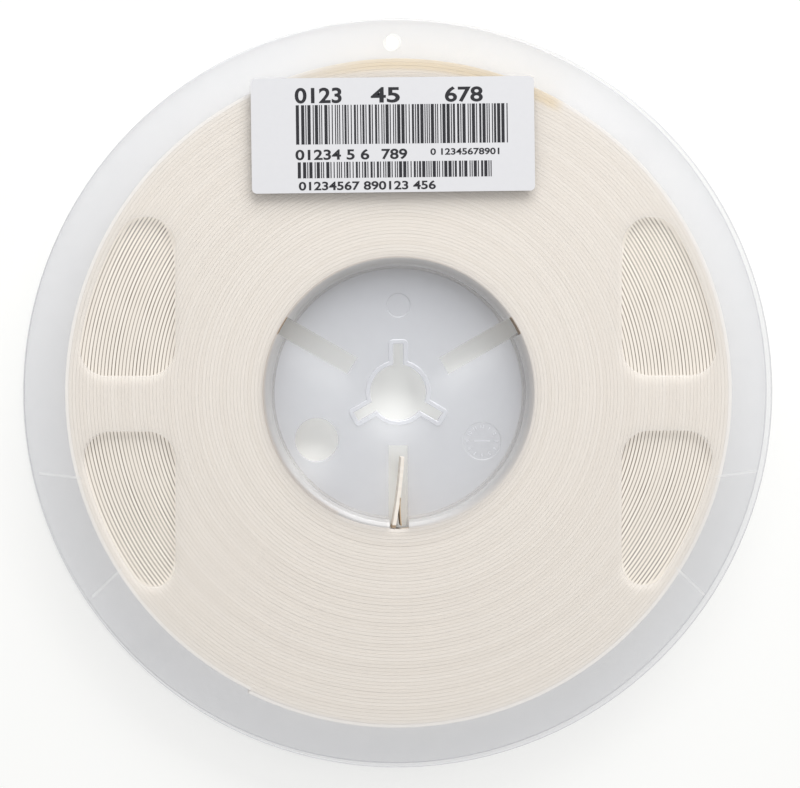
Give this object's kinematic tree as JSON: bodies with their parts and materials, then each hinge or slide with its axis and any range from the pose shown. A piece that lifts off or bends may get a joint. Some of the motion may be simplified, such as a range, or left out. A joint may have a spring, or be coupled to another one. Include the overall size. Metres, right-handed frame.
{
  "type": "component tape reel",
  "caption": "Flat two-flange plastic reel wound with narrow paper carrier tape, with a keyed arbor hole, flange windows and a paper label, for feeding small parts.",
  "frame": {"origin": "on the reel's axis at the outer face of the rear flange, which is the bottom as it lies flat", "axes": "+Z along the reel's axis towards the label side, +Y towards the label, +X to the right as the label is read"},
  "size_m": [0.178, 0.178, 0.0115],
  "materials": {
    "reel_plastic": "translucent milky white moulded polystyrene, satin",
    "tape_paper": "cream paper edges, matte",
    "strip_paper": "tan adhesive paper, matte",
    "label_paper": "coated white label paper"
  },
  "bodies": {
    "root": {"front_half": "reel_plastic", "rear_half": "reel_plastic", "carrier_tape": "tape_paper", "end_strip": "strip_paper", "label": "label_paper"}
  },
  "joints": []
}
